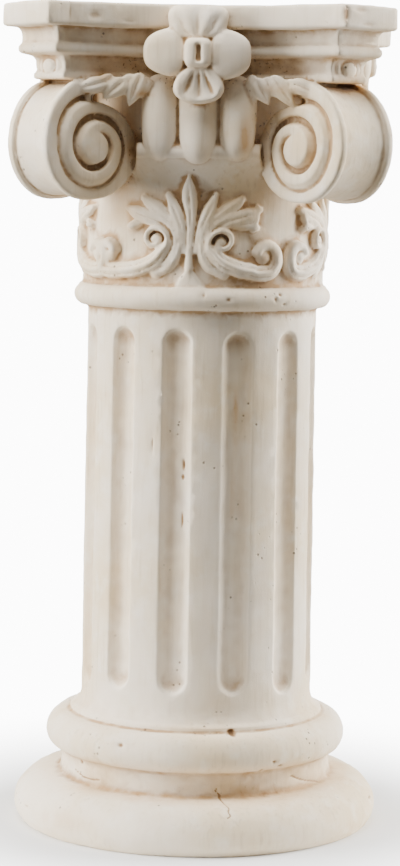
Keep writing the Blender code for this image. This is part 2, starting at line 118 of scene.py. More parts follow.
def smooth_step(x):
    x = np.clip(x, 0.0, 1.0)
    return x * x * (3.0 - 2.0 * x)


middle = (lower_torus["top_radius"], lower_torus["equator"])
bulge = (lower_torus["radius"] - middle[0], lower_torus["top"] - middle[1])
profile = [(0.0, 0.0), (lower_torus["foot_radius"] - 1.0, 0.0), (lower_torus["foot_radius"], 0.4)]
profile += quarter((lower_torus["foot_radius"] - 6.0, lower_torus["equator"]), (11.0, 14.3), -58, 0)
profile += quarter(middle, bulge, 2, 88, 20)
profile += [(121.4, 42.6), (scotia["radius"], 44.6), (scotia["radius"] - scotia["hollow"], 54.0)]
profile += [(scotia["radius"], 62.5)]
profile += quarter((scotia["radius"] + 1.5, upper_torus["equator"]),
                   (upper_torus["radius"] - scotia["radius"] - 1.5, 13.3), -86, 0)
profile += quarter((upper_torus["top_radius"], upper_torus["equator"]),
                   (upper_torus["radius"] - upper_torus["top_radius"], 18.6), 2, 88)
profile += [(fillet["radius"] + 1.2, upper_torus["top"] + 0.2), (fillet["radius"], 97.4)]
profile += [(fillet["radius"], fillet["top"])]
profile += quarter((fillet["radius"], shaft["foot"] + 1.0),
                   (fillet["radius"] - shaft["foot_radius"], shaft["foot"] - fillet["top"]), 262, 180)
profile += [(shaft["top_radius"], shaft["top"] - 1.0), (shaft["top_radius"] + 2.0, shaft["top"])]
bead = (astragal["top"] - shaft["top"]) / 2
profile += quarter((astragal["radius"] - bead, shaft["top"] + bead), (bead, bead), -84, 84, 16)
profile += [(neck["radius"] + 0.6, astragal["top"] + 0.3), (neck["radius"], astragal["top"] + 1.2)]
for step in range(1, 13):
    rise = step / 12
    profile.append((neck["radius"] + (bell["radius"] - neck["radius"]) * (1 - math.cos(rise * 1.5)),
                    neck["top"] - 4.0 + (bell["top"] - neck["top"]) * rise))
profile += quarter((bell["roll_radius"] - bell["roll_half"], bell["top"] + 1.0),
                   (bell["roll_half"], bell["roll_half"]), -50, 90)
profile += [(echinus["radius"] + 3.0, bell["top"] + 8.0), (echinus["radius"], bell["top"] + 14.0)]
profile += [(echinus["radius"], 640.0)]
profile += [(echinus["radius"] + 2.0, echinus["top"]), (0.0, echinus["top"])]
line = evenly(profile, 1.3)

core, along, across = grid("core", CORE_COLUMNS, len(line) - 1)
radius = line[across, 0]
height = line[across, 1]
turn = (along / CORE_COLUMNS) * 2.0 * math.pi - math.pi


def flute_depth(turn, height, radius):
    """How deep the shaft is cut at a place: each flute's ends are a little off the true line."""
    depth = np.zeros_like(turn)
    half = flute["width"] / 2
    for index in range(flute["count"]):
        centre = math.radians(flute["turn"] + 360.0 * index / flute["count"])
        foot = flute["foot"] + 2.6 * math.sin(index * 2.3 + 0.4)
        head = flute["head"] + 1.5 * math.sin(index * 1.7 + 2.0)
        lean = 0.9 * math.sin(index * 3.1)
        off = (turn - centre + math.pi) % (2.0 * math.pi) - math.pi
        side = off * radius - lean * (height - 280.0) / 160.0
        side = side * (1.0 + 0.04 * math.sin(index * 4.7))
        over = np.maximum(np.abs(height - (foot + head) / 2) - ((head - foot) / 2 - half), 0.0)
        away = np.hypot(side, over) / half
        cut = (1.0 - np.clip(away, 0.0, 1.0) ** 2.4) ** 0.85
        depth = np.maximum(depth, cut * flute["depth"] * (1.0 + 0.06 * math.sin(index * 5.3)))
    return depth


# Beside each volute the bell and the eggs' bed are cut back behind the volute's face
volute = {"reach": 147.5, "height": 591.3, "halves": (31.0, 28.5, 28.0, 26.6), "inner": 45.5,
          "half": 27.0}
from_side = np.abs((turn + math.pi / 4) % (math.pi / 2) - math.pi / 4)
rise = np.clip(np.abs(height - volute["height"]) / volute["inner"], 0.0, 1.0)
rim = (volute["reach"] - volute["half"] - volute["inner"] * np.sqrt(1.0 - rise ** 2)) * math.sqrt(0.5)
wall = (rim - 1.5) / np.maximum(np.sin(from_side), 0.05)
behind = (volute["half"] * math.sqrt(2.0) - 2.5) / np.maximum(np.cos(from_side) - np.sin(from_side), 0.05)
among_eggs = 1.0 - smooth_step((np.degrees(from_side) - 18.0) / 5.0)
bed = echinus["radius"] + 19.0 * among_eggs
by_eggs = (height > bell["top"] + 2.0) & (height < 651.0) & (radius > 60.0)
radius = np.where(by_eggs, np.maximum(radius, bed), radius)
cut_back = (rise < 0.999) & (radius > 60.0)
radius = np.where(cut_back, np.minimum(radius, np.maximum(wall, behind)), radius)
on_shaft = (height > shaft["foot"] - 4.0) & (height < shaft["top"] - 2.0) & (radius > 90.0)
radius = radius - np.where(on_shaft, flute_depth(turn, height, radius), 0.0)

# Round the neck run four palmettes, each between two scrolls that start in a small curl beside its
# stem and end in a hooked bud. They were modelled by hand, so no two are quite alike.
palmette = {"turn": -3.3, "count": 4, "height": 7.4}
buds = ((75.0, 63.5), (61.0, 72.0), (68.0, 66.0), (64.0, 70.0))
stem_line = ((0.0, 16.0), (0.3, 36.9), (0.1, 57.9), (-1.0, 77.5), (0.2, 94.0))
stem_widths = (3.4, 3.0, 4.6, 6.6, 0.5)
leaf_lines = {"inner": (((4.6, 30.0), (7.6, 48.8), (12.6, 62.0), (19.0, 77.0)), (2.4, 4.2, 6.0, 2.4)),
              "middle": (((29.0, 12.5), (17.5, 19.5), (10.8, 31.5), (11.0, 44.0), (18.0, 55.5),
                          (29.5, 64.0), (41.5, 74.0)), (5.4, 6.2, 5.6, 5.2, 6.6, 7.2, 2.6)),
              "outer": (((15.0, 45.0), (26.0, 54.0), (37.5, 58.5), (48.0, 62.0), (58.0, 66.0)),
                        (3.0, 5.6, 6.8, 6.0, 2.2)),
              "lobe": (((33.0, 52.0), (43.0, 53.5), (50.5, 56.5), (55.0, 68.0)),
                       (2.0, 5.0, 5.6, 2.0)),
              "low": (((44.0, 55.0), (51.0, 51.5), (56.0, 50.5)), (3.2, 4.2, 2.0))}
curl_centre = (29.5, 40.5)
band_line = ((22.3, 30.5), (27.5, 23.5), (35.0, 18.5), (44.0, 15.2), (53.0, 13.6))


def through(points, widths, steps=9):
    """A smooth line through points of the flat drawing, with its half-widths."""
    data = np.column_stack([np.array(points, dtype=float), np.array(widths, dtype=float)])
    ends = np.vstack([2 * data[0] - data[1], data, 2 * data[-1] - data[-2]])
    line = []
    for index in range(1, len(ends) - 2):
        a, b, c, d = ends[index - 1:index + 3]
        for step in range(steps):
            t = step / steps
            line.append(0.5 * (2 * b + (c - a) * t + (2 * a - 5 * b + 4 * c - d) * t ** 2
                               + (3 * b - a - 3 * c + d) * t ** 3))
    line.append(ends[-2])
    return np.array(line)


def round_curl(centre, start, end, first, last, steps):
    """A curl in the flat drawing, angles in degrees."""
    turns = np.radians(np.linspace(start, end, steps + 1))
    reaches = np.linspace(first, last, steps + 1)
    return [(centre[0] + r * math.cos(a), centre[1] + r * math.sin(a)) for a, r in zip(turns, reaches)]


def along_line(side, lift, line):
    """How far a place is from a line, as a share of its half-width there, and how far along it."""
    best = np.full(side.shape, 9.0)
    where = np.zeros(side.shape)
    for index in range(len(line) - 1):
        (ax, ay, aw), (bx, by, bw) = line[index], line[index + 1]
        run = (bx - ax, by - ay)
        share = ((side - ax) * run[0] + (lift - ay) * run[1]) / (run[0] ** 2 + run[1] ** 2 + 1e-9)
        share = np.clip(share, 0.0, 1.0)
        away = np.hypot(side - ax - share * run[0], lift - ay - share * run[1])
        away = away / np.maximum(aw + (bw - aw) * share, 0.3)
        nearer = away < best
        best = np.where(nearer, away, best)
        where = np.where(nearer, (index + share) / (len(line) - 1), where)
    return best, where


def ribbed(away, grooves, depth):
    """Section of a band: full and round, with fine grooves at some shares of its half-width."""
    body = np.clip(1.0 - away ** 3.0, 0.0, 1.0) ** 0.6
    for groove in grooves:
        body = body * (1.0 - depth * np.exp(-((away - groove) / 0.13) ** 2))
    return body


def neck_relief(side, lift, index):
    """Height of the carving over the neck's background, for one palmette and its two scrolls."""
    tall = palmette["height"]
    away, where = along_line(side, lift, through(stem_line, stem_widths))
    relief = tall * ribbed(away, (0.0,), 0.42) * (0.62 + 0.38 * smooth_step(where * 1.3))
    for hand in (-1, 1):
        mine = hand * side
        sway = 1.2 * math.sin(index * 2.1 + hand + 0.6)
        for name, (points, widths) in leaf_lines.items():
            if name == "lobe" and (index + (hand > 0)) % 2 == 0:
                continue
            line = through(points, widths)
            line[:, 0] += sway * line[:, 1] / 60.0
            away, where = along_line(mine, lift, line)
            rise = 0.62 + 0.38 * smooth_step(where * 1.8)
            fall = 1.0 - 0.25 * smooth_step((where - 0.7) / 0.3)
            ribs = (0.0,) if name != "middle" else (0.16, 0.62)
            relief = np.maximum(relief, tall * 0.94 * ribbed(away, ribs, 0.40) * rise * fall)
        # The curl, its band and the hooked bud
        bud = (buds[index][hand > 0], 26.5)
        centre = (curl_centre[0] - 3.0 * (hand > 0), curl_centre[1] - 2.0 * (hand > 0))
        points = round_curl(centre, -262, 94, 2.4, 9.2, 16)
        points += round_curl(centre, 114, 208, 9.5, 12.0, 5)
        points += [(x + (centre[0] - curl_centre[0]) * (1 - step / 4), y)
                   for step, (x, y) in enumerate(band_line)]
        points += [(bud[0] - 7.0, 12.4)]
        points += round_curl(bud, -68, 150, 14.5, 6.8, 9)
        count = len(points)
        shares = np.linspace(0.0, 1.0, count)
        widths = 1.9 + 0.7 * smooth_step(shares / 0.4) + 4.4 * smooth_step((shares - 0.52) / 0.14)
        widths = widths - 3.2 * smooth_step((shares - 0.80) / 0.20)
        away, where = along_line(mine, lift, through(points, widths, 3))
        fine = smooth_step((where - 0.5) / 0.1) * (1.0 - smooth_step((where - 0.78) / 0.08))
        body = ribbed(away, (), 0.0) * (1.0 - 0.45 * fine * np.exp(-((away - 0.45) / 0.14) ** 2))
        rise = 0.66 + 0.34 * smooth_step(where * 1.9)
        relief = np.maximum(relief, (tall + 0.4) * body * rise)
        reach = np.hypot(mine - bud[0], lift - bud[1])
        relief = np.maximum(relief, 6.4 * np.sqrt(np.clip(1.0 - (reach / 7.4) ** 2, 0.0, 1.0)))
        reach = np.hypot(mine - centre[0], lift - centre[1])
        relief = np.maximum(relief, 5.6 * np.sqrt(np.clip(1.0 - (reach / 4.0) ** 2, 0.0, 1.0)))
    # The low mound between the feet of the two bands
    slope = 1.0 - np.clip(lift / 17.0, 0.0, 1.0)
    inside = np.clip(1.0 - np.abs(side) / (17.0 * slope + 0.1), 0.0, 1.0)
    return np.maximum(relief, 2.4 * smooth_step(inside * 2.2) * (lift < 17.0))


lift = height - astragal["top"]
on_neck = (lift > -1.0) & (lift < 100.0) & (radius > 90.0) & (radius < 123.0)
raised = np.zeros_like(radius)
for index in range(palmette["count"]):
    centre = math.radians(palmette["turn"] + 360.0 * index / palmette["count"])
    off = (turn - centre + math.pi) % (2.0 * math.pi) - math.pi
    mine = on_neck & (np.abs(off) <= math.pi / palmette["count"] + 0.10)
    side = off[mine] * neck["radius"] + 0.8 * np.sin(lift[mine] * 0.08 + index * 1.9)
    raised[mine] = np.maximum(raised[mine], neck_relief(side, lift[mine], index))
radius = radius + raised * (1.0 - smooth_step((lift - 84.0) / 14.0) * 0.6)
shape(core, np.column_stack([radius * np.sin(turn), -radius * np.cos(turn), height]))
casting = [core]

# The abacus has hollow sides and cut corners, in three steps: a plain slab, a fascia over a bead,
# and a hollow over a thin fillet. Its outline is the same all the way down, set in step by step.
abacus = {"half_width": 163.7, "corner": 120.8, "hollow": 40.0}
abacus_steps = [(163, 709.8), (4.0, 709.8), (1.0, 709.4), (0.2, 708.4), (0.0, 700.0), (0.2, 692.0),
                (1.0, 690.4), (2.6, 690.0), (11.5, 689.6), (13.2, 688.8), (14.8, 686.0), (15.4, 680.5),
                (14.9, 676.2), (13.2, 675.4), (12.2, 673.6), (12.0, 671.4), (12.9, 669.0),
                (14.4, 668.2), (19.0, 667.6), (24.5, 666.0), (27.0, 661.5), (27.4, 656.0),
                (26.2, 652.8), (24.9, 652.0), (24.6, 649.4), (25.4, 647.9), (27.0, 647.2), (163, 647.0)]


def abacus_place(share, inset):
    """A place on the abacus outline: four arcs joined by the cut corners, set in by an amount."""
    reach = abacus["half_width"] - inset
    corner = abacus["corner"] - inset * math.tan(math.radians(22.5))
    corner = np.maximum(corner, 2.0)
    side = np.floor(share * 4.0).astype(int) % 4
    part = (share * 4.0) % 1.0
    arc_share = 0.80
    sweep = np.clip(part / arc_share, 0.0, 1.0) * 2.0 - 1.0
    hollow = abacus["hollow"] * np.clip(reach / 100.0, 0.0, 1.0)
    x = sweep * corner
    y = -reach + hollow * (1.0 - sweep ** 2)
    cut = np.clip((part - arc_share) / (1.0 - arc_share), 0.0, 1.0)
    x = x + (reach - corner) * cut
    y = y + (reach - corner) * cut
    quarter_turn = side * math.pi / 2
    return (x * np.cos(quarter_turn) - y * np.sin(quarter_turn),
            x * np.sin(quarter_turn) + y * np.cos(quarter_turn))


steps = evenly(abacus_steps, 1.3)
abacus_columns = 800
top, along, across = grid("abacus", abacus_columns, len(steps) - 1)
x, y = abacus_place((along % abacus_columns) / abacus_columns, steps[across, 0])
centre_share = np.clip((steps[across, 0] - 40.0) / 123.0, 0.0, 1.0)
shape(top, np.column_stack([x * (1.0 - centre_share), y * (1.0 - centre_share), steps[across, 1]]))
casting.append(top)

# At each corner a thick volute rolls down from under the abacus and inwards in two turns. One groove
# runs from a pit under the abacus to the comma in its eye, first a thin line and then deep.
volute_outline = ((-0.25, 58.5), (-0.16, 56.0), (-0.08, 53.6), (0.0, 51.8), (0.08, 49.6), (0.15, 46.6),
                  (0.25, 43.0), (0.33, 44.0), (0.415, 46.2), (0.5, 45.4), (0.6, 41.6), (0.7, 38.2),
                  (0.75, 38.0))
volute_groove = ((-0.25, 41.0), (-0.19, 43.0), (-0.14, 43.0), (-0.07, 41.2), (0.0, 39.2), (0.12, 36.8),
                 (0.25, 34.0), (0.38, 32.6), (0.5, 31.3), (0.62, 29.2), (0.75, 26.4), (0.87, 25.0),
                 (1.0, 23.6), (1.12, 20.4), (1.25, 17.3), (1.38, 15.6), (1.5, 14.6), (1.62, 13.8),
                 (1.75, 13.0))
groove_half = ((-0.25, 2.4), (-0.12, 1.5), (0.45, 1.4), (0.72, 2.5), (1.25, 2.3), (1.5, 2.2), (1.7, 0.8),
               (1.75, 0.6))
groove_depth = ((-0.25, 5.0), (-0.12, 2.8), (0.45, 2.5), (0.72, 5.2), (1.25, 5.4), (1.5, 4.6), (1.68, 2.0),
                (1.75, 0.0))
groove_bevel = ((-0.25, 3.0), (0.0, 5.2), (0.5, 5.0), (0.75, 3.4), (1.0, 4.4), (1.25, 2.6), (1.75, 1.6))
turn_level = ((-0.25, 0.0), (0.2, 0.0), (0.75, 3.0), (1.0, 3.8), (1.5, 4.8), (1.75, 5.4), (2.75, 5.6))
volute_edge_band = {"rim": 6.6, "channel": 4.4, "round": 1.7}


def eased(value, table):
    """A smooth curve through a table of pairs."""
    places, levels = np.array(table, dtype=float).T
    slopes = np.gradient(levels, places)
    at = np.clip(np.searchsorted(places, value) - 1, 0, len(places) - 2)
    gap = places[at + 1] - places[at]
    t = np.clip((value - places[at]) / gap, 0.0, 1.0)
    return ((2 * t ** 3 - 3 * t ** 2 + 1) * levels[at] + (t ** 3 - 2 * t ** 2 + t) * gap * slopes[at]
            + (3 * t ** 2 - 2 * t ** 3) * levels[at + 1] + (t ** 3 - t ** 2) * gap * slopes[at + 1])


def groove_section(reach, turns):
    """Level of a face across one crossing of the groove: a bevel, a floor, and a steep outer wall."""
    centre = eased(turns, volute_groove)
    half = eased(turns, groove_half)
    bevel = eased(turns, groove_bevel)
    outer = eased(turns, turn_level)
    inner = eased(turns + 1.0, turn_level)
    floor = outer - eased(turns, groove_depth)
    off = reach - centre
    slope = smooth_step((off + half + bevel) / bevel)
    level = inner + (floor - inner) * (0.35 * slope + 0.65 * np.clip((off + half + bevel) / bevel, 0, 1))
    wall = smooth_step((off - half * 0.35) / (half * 0.65 + 0.5))
    return np.where(off < half * 0.35, level, floor + (outer - floor) * wall), centre - half - bevel


def face_relief(reach, turns):
    """Height of a volute's face over its rim."""
    first, start = groove_section(reach, turns)
    second, _ = groove_section(reach, turns + 1.0)
    eye = 1.0 * (1.0 - np.clip(reach / 13.0, 0.0, 1.0) ** 2)
    return np.where(reach > start, first, second) + eye


columns, face_rows, edge_rows = 300, 74, 44
rows = face_rows * 2 + edge_rows
roll, along, across = grid("volute", columns, rows)
turns = np.where(along == columns, 0.0, along / (columns - 1)) - 0.25
angle = -2.0 * math.pi * turns
edge = eased(turns, volute_outline)
front = across <= face_rows
back = across >= face_rows + edge_rows
share = np.where(front, across / face_rows, np.where(back, (rows - across) / face_rows, 1.0))
sweep = np.clip((across - face_rows) / edge_rows, 0.0, 1.0) * 2.0 - 1.0
relief = face_relief(share * edge, turns)
soft = volute_edge_band["round"]
rounded = soft * smooth_step((share * edge - edge + 2.4) / 2.4) ** 2
rim_relief = face_relief(edge, turns) - soft
for corner in range(4):
    half = volute["halves"][corner]
    copy = roll.copy()
    face = half + relief - rounded
    rim_face = half + rim_relief
    from_rim = (1.0 - np.abs(sweep)) * half
    hollow = volute_edge_band["channel"] * smooth_step((from_rim - volute_edge_band["rim"]) / 1.4)
    hollow = hollow * (0.66 + 0.34 * np.cos(np.clip(sweep, -0.75, 0.75) / 0.75 * math.pi / 2))
    hollow = hollow + 1.9 * np.exp(-((from_rim - volute_edge_band["rim"] - 0.9) / 0.9) ** 2)
    hollow = np.where(front | back, 0.0, hollow)
    reach = share * edge - hollow + 0.5 * np.sin(angle * 3.0 + corner * 1.7) * share
    width = np.where(front, face, np.where(back, -face, -sweep * rim_face))
    facing = math.radians(90.0 * corner - 45.0)
    outward = volute["reach"] + reach * np.cos(angle)
    up = volute["height"] + reach * np.sin(angle)
    x = outward * math.cos(facing) + width * math.sin(facing)
    y = outward * math.sin(facing) - width * math.cos(facing)
    shape(copy, np.column_stack([x, y, up]))
    casting.append(copy)

# Three rounded eggs stand on the lip of the bell on each side, a little wider above than below.
# They were cast with the rest, and their tops go in under the flower and the small leaves.
egg = {"spacing": 15.6, "half_width": 17.8, "half_height": 36.0, "height": 617.0, "reach": 132.0,
       "depth": 14.5}


def ball(name, around=48, rings=32):
    """A closed ball of radius one, with its poles up and down."""
    work = bmesh.new()
    bmesh.ops.create_uvsphere(work, u_segments=around, v_segments=rings, radius=1.0)
    mesh = bpy.data.meshes.new(name)
    work.to_mesh(mesh)
    work.free()
    flat = np.empty(len(mesh.vertices) * 3)
    mesh.vertices.foreach_get("co", flat)
    return mesh, flat.reshape(-1, 3)


def turned(points, degrees):
    a = math.radians(degrees)
    return np.column_stack([points[:, 0] * math.cos(a) - points[:, 1] * math.sin(a),
                            points[:, 0] * math.sin(a) + points[:, 1] * math.cos(a), points[:, 2]])


for side in range(4):
    for step in (-1, 0, 1):
        mesh, unit = ball("egg", 80, 56)
        level = unit[:, 2]
        girth = np.hypot(unit[:, 0], unit[:, 1])
        round_x = unit[:, 0] / np.maximum(girth, 1e-6)
        round_y = unit[:, 1] / np.maximum(girth, 1e-6)
        pinch = np.maximum(np.abs(round_x) ** 1.85 + np.abs(round_y) ** 1.85, 0.001) ** (-1 / 1.85)
        full = np.clip(1.0 - np.abs(level) ** 4.2, 0.0, 1.0) ** 0.5
        taper = 0.93 + 0.09 * level
        x = round_x * pinch * full * taper * egg["half_width"]
        x = x + 0.9 * np.sin(level * 4.0 + side + step) * (np.abs(round_x) < 0.5)
        y = round_y * pinch * full * egg["depth"]
        low = np.clip(-level, 0.0, 1.0) * (step == 0)
        z = level * egg["half_height"] + egg["height"] - 2.5 * low
        y = y + egg["depth"] - egg["reach"] - 2.5 * low + np.clip(level, 0.0, 1.0) * 2.0
        casting.append(shape(mesh, turned(np.column_stack([x, y, z]), 90.0 * side + egg["spacing"] * step)))

# A four-petalled flower sits on the middle of each side of the abacus: a fluted cushion above, two
# smooth ones at the sides, a cupped fan below, and a squared boss with an upright slot.
flower = {"height": 668.5, "reach": 136.5}
petals = {
    "top": {"at": (-0.5, 26.4), "size": (25.4, 15.0), "turn": 0.0, "fan": 0.14, "rise": 11.5,
            "dish": 0.0, "lip": 0.0, "square": 3.4, "creases": (-0.44, 0.0, 0.44), "crease": 2.2,
            "crease_width": 0.12, "out": 0.16},
    "left": {"at": (-27.6, 1.6), "size": (20.2, 17.6), "turn": 90.0, "fan": 0.24, "rise": 9.5,
             "dish": 0.0, "lip": 0.5, "square": 2.7, "creases": (), "crease": 0.0,
             "crease_width": 0.1, "out": 0.10},
    "right": {"at": (26.4, 0.0), "size": (21.2, 17.4), "turn": -90.0, "fan": 0.24, "rise": 10.0,
              "dish": 0.0, "lip": 0.7, "square": 2.7, "creases": (), "crease": 0.0,
              "crease_width": 0.1, "out": 0.12},
    "bottom": {"at": (1.0, -24.6), "size": (22.0, 16.0), "turn": 180.0, "fan": 0.22, "rise": 9.0,
               "dish": 4.2, "lip": 1.6, "square": 2.3, "creases": (-0.62, -0.3, 0.0, 0.3, 0.62),
               "crease": 1.5, "crease_width": 0.07, "out": 0.04}}


def petal_points(unit, form):
    """A petal that lies flat: X across, Z away from the boss, and -Y out of the wall."""
    x, z, depth = unit[:, 0], unit[:, 1], unit[:, 2]
    spread = np.hypot(x, z)
    square = (np.abs(x) ** form["square"] + np.abs(z) ** form["square"]) ** (1 / form["square"])
    full = spread / np.maximum(square, 1e-6)
    fan = 1.0 - form["fan"] * (1.0 - smooth_step((z + 1.0) / 1.5))
    front = np.sqrt(np.clip(1.0 - spread ** 3.2, 0.0, 1.0)) ** 0.8
    rise = form["rise"] * front - form["dish"] * np.exp(-((spread / 0.66) ** 4)) * front
    rise = rise + form["lip"] * np.exp(-((spread - 0.86) / 0.10) ** 2) * smooth_step((z + 0.6) / 0.7)
    angle = np.arctan2(x * 1.15, z + 1.45)
    fade = smooth_step((z + 1.0) / 0.5) * (1.0 - smooth_step((spread - 0.55) / 0.4))
    for crease in form["creases"]:
        line = np.exp(-((angle - crease) / form["crease_width"]) ** 2)
        rise = rise - form["crease"] * line * np.maximum(fade, 0.2 * (spread < 0.9))
    out = np.where(depth > 0.0, -rise, -depth * 9.0)
    return np.column_stack([x * full * fan * form["size"][0], out, z * full * form["size"][1]])


for side in range(4):
    for name, form in petals.items():
        mesh, unit = ball("petal", 96, 64)
        points = petal_points(unit, form)
        a = math.radians(form["turn"])
        x = points[:, 0] * math.cos(a) + points[:, 2] * math.sin(a) + form["at"][0]
        z = -points[:, 0] * math.sin(a) + points[:, 2] * math.cos(a) + form["at"][1]
        y = points[:, 1] - flower["reach"] + form["out"] * np.hypot(x, z)
        z = np.minimum(z, 709.0 - flower["height"])
        points = np.column_stack([x, y, z + flower["height"]])
        casting.append(shape(mesh, turned(points, 90.0 * side)))
    mesh, unit = ball("boss", 64, 48)
    square = unit / (np.abs(unit) ** 4.5).sum(axis=1, keepdims=True) ** (1 / 4.5)
    slot = np.exp(-((unit[:, 0] - 0.05) / 0.20) ** 4) * smooth_step((0.60 - np.abs(unit[:, 2])) / 0.2)
    y = square[:, 1] * 11.0 + 5.5 * slot * (unit[:, 1] < -0.3) - flower["reach"] - 1.5
    points = np.column_stack([square[:, 0] * 10.9, y, square[:, 2] * 12.0 + flower["height"] + 0.8])
    casting.append(shape(mesh, turned(points, 90.0 * side)))
    mesh, unit = ball("stem", 32, 16)
    points = np.column_stack([unit[:, 0] * 27.0, unit[:, 1] * 24.0 - flower["reach"] + 24.0,
                              unit[:, 2] * 26.0 + flower["height"]])
    casting.append(shape(mesh, turned(points, 90.0 * side)))

# A small leaf lies over each volute, from the flower to the corner, under the lowest step. It is cut
# in leaflets that point outwards and down, and a strap ties the volute's rim to the abacus.
leaf_bed = {"from": 38.0, "to": 98.0, "height": 645.0, "half_height": 5.0, "depth": 7.0}
leaflets = ((45.0, 641.0, 11.0, 6.0, 76.0), (52.5, 639.0, 14.5, 7.2, 60.0), (62.0, 641.5, 12.5, 6.6, 48.0),
            (70.0, 639.0, 15.0, 7.4, 44.0), (80.0, 642.5, 12.0, 6.2, 30.0), (88.0, 642.0, 13.0, 6.4, 24.0))


def leaf_reach(out):
    return 119.5 + (out - 46.0) * 0.235


for side in range(4):
    for hand in (-1, 1):
        mesh, unit = ball("leaf bed", 64, 20)
        unit = unit[:, [2, 1, 0]]
        out = (leaf_bed["from"] + leaf_bed["to"]) / 2 + unit[:, 0] * (leaf_bed["to"] - leaf_bed["from"]) / 2
        points = np.column_stack([hand * out, unit[:, 1] * leaf_bed["depth"] - leaf_reach(out) + 4.0,
                                  unit[:, 2] * leaf_bed["half_height"] + leaf_bed["height"]])
        casting.append(shape(mesh, turned(points, 90.0 * side)))
        for number, (out, up, half_length, half_width, fall) in enumerate(leaflets):
            mesh, unit = ball("leaflet", 48, 32)
            unit = unit[:, [2, 0, 1]]
            length = unit[:, 0]
            size = 1.0 + 0.14 * math.sin(number * 4.1 + side * 2.0 + hand * 1.3)
            narrow = 1.0 - 0.42 * length - 0.30 * length ** 2
            vein = 2.2 * np.exp(-(unit[:, 2] / 0.22) ** 2) * (unit[:, 1] < 0.0)
            run = length * half_length * size
            across = unit[:, 2] * half_width * narrow
            a = math.radians(fall + 9.0 * math.sin(number * 2.3 + side + hand))
            x = out + run * math.cos(a) + across * math.sin(a)
            z = up - run * math.sin(a) + across * math.cos(a)
            y = unit[:, 1] * 4.2 + vein - leaf_reach(x) - 2.0 + 2.5 * length - 1.2 * (number % 2)
            points = np.column_stack([hand * x, y, z])
            casting.append(shape(mesh, turned(points, 90.0 * side)))
        mesh, unit = ball("strap", 24, 24)
        box = unit / (np.abs(unit) ** 4.0).sum(axis=1, keepdims=True) ** 0.25
        points = np.column_stack([hand * (92.0 + box[:, 0] * 3.4), box[:, 1] * 6.0 - 123.5,
                                  box[:, 2] * 12.0 + 638.0])
        casting.append(shape(mesh, turned(points, 90.0 * side)))
    # The lowest step ends in a round shell on each cut corner
    mesh, unit = ball("shell", 48, 32)
    spread = np.hypot(unit[:, 0], unit[:, 2])
    y = unit[:, 1] * 5.0 + 2.4 * np.exp(-((spread - 0.66) / 0.10) ** 2) * (unit[:, 1] < 0.0) - 173.0
    points = np.column_stack([unit[:, 0] * 14.0, y, unit[:, 2] * 10.0 + 658.0])
    casting.append(shape(mesh, turned(points, 90.0 * side + 45.0)))

# The plaster was poured in one go, so all of this is one skin with softened edges. It is drawn
# together on a fine grid, then thinned where it is plain. Sizes from here on are in metres.
skin = bpy.data.meshes.new("skin")
joined = bmesh.new()
for mesh in casting:
    joined.from_mesh(mesh)
    bpy.data.meshes.remove(mesh)
joined.to_mesh(skin)
joined.free()
column = bpy.data.objects.new("column_pedestal_plaster", skin)
bpy.context.scene.collection.objects.link(column)
grain_size = 1.15
remesh = column.modifiers.new("one skin", "REMESH")
remesh.mode = "VOXEL"
remesh.voxel_size = grain_size * MM
remesh.adaptivity = 0.0


def settle(piece):
    """Replace a piece's mesh by its shape with all modifiers, and drop the modifiers."""
    bpy.context.view_layer.update()
    graph = bpy.context.evaluated_depsgraph_get()
    mesh = bpy.data.meshes.new_from_object(piece.evaluated_get(graph))
    piece.modifiers.clear()
    old = piece.data
    piece.data = mesh
    bpy.data.meshes.remove(old)


def mesh_arrays(mesh):
    """Places, normals and edges of a mesh."""
    points = np.empty(len(mesh.vertices) * 3)
    mesh.vertices.foreach_get("co", points)
    normals = np.empty(len(mesh.vertices) * 3)
    mesh.vertex_normals.foreach_get("vector", normals)
    edges = np.empty(len(mesh.edges) * 2, dtype=int)
    mesh.edges.foreach_get("vertices", edges)
    return points.reshape(-1, 3), normals.reshape(-1, 3), edges.reshape(-1, 2)


def spread(values, edges, times, share=0.5):
    """Even out values between neighbouring vertices."""
    count = np.maximum(np.bincount(edges.ravel(), minlength=len(values)), 1).astype(float)
    values = np.array(values, dtype=float).reshape(len(values), -1)
    for _ in range(times):
        for column_values in values.T:
            total = np.bincount(edges[:, 0], column_values[edges[:, 1]], len(count))
            total += np.bincount(edges[:, 1], column_values[edges[:, 0]], len(count))
            column_values += share * (total / count - column_values)
    return values if values.shape[1] > 1 else values[:, 0]


settle(column)
points, normals, edges = mesh_arrays(column.data)
points = spread(points, edges, 1, 0.4)
# Small lumps that a mould and a brush leave
lumps = np.array([noise.noise(Vector(point) / 0.030) * 0.60 + noise.noise(Vector(point) / 0.009) * 0.24
                  for point in points])
points = points + normals * (lumps * MM)[:, None]


